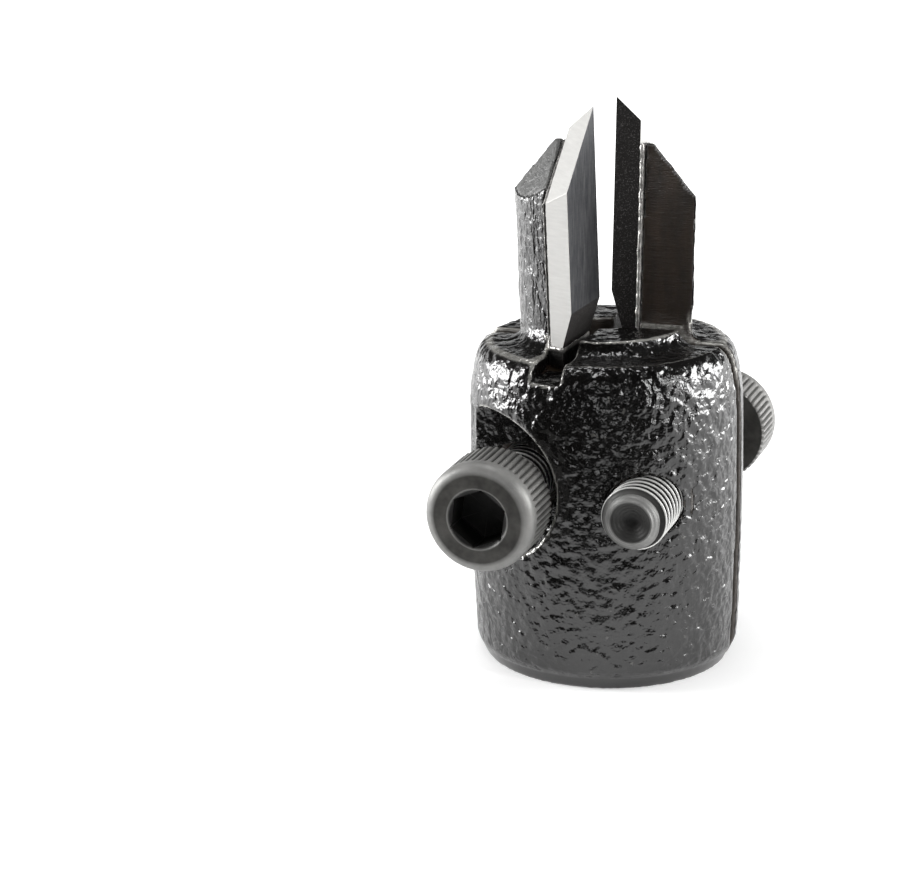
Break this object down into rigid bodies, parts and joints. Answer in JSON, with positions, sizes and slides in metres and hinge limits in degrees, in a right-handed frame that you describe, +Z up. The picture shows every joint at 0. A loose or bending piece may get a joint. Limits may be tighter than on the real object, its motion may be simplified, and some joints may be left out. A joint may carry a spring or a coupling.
{
  "type": "countersink bit",
  "caption": "Clamp-on countersink in halves with brazed carbide plates; clamp screws close it round a twist drill.",
  "frame": {"origin": "centre of the foot face on the tool's axis, midway between the halves", "axes": "+Z up along the tool's axis towards the cutting edges; Y across the split, X along it"},
  "size_m": [0.0214, 0.0327, 0.0442],
  "materials": {
    "cast_body": "glossy black over a coarse cast skin",
    "carbide": "ground tungsten carbide, satin",
    "braze": "silver braze, uneven",
    "screw": "black oxide, knurled head"
  },
  "bodies": {
    "front_half": {"front_half_body": "cast_body", "front_carbide_plate": "carbide", "front_braze_seam": "braze"},
    "rear_half": {"rear_half_body": "cast_body", "rear_carbide_plate": "carbide", "rear_braze_seam": "braze"},
    "front_screw": {"front_clamp_screw": "screw"},
    "rear_screw": {"rear_clamp_screw": "screw"}
  },
  "joints": [
    {"name": "clamp_travel", "type": "slide", "parent": "front_half", "child": "rear_half", "axis": [0, -1, 0], "range_m": [0, 0.00105]},
    {"name": "front_screw_travel", "type": "slide", "parent": "rear_half", "child": "front_screw", "axis": [0, 1, 0], "range_m": [-0.008, 0.00425]},
    {"name": "rear_screw_travel", "type": "slide", "parent": "front_half", "child": "rear_screw", "axis": [0, -1, 0], "range_m": [-0.008, 0.00635]}
  ]
}
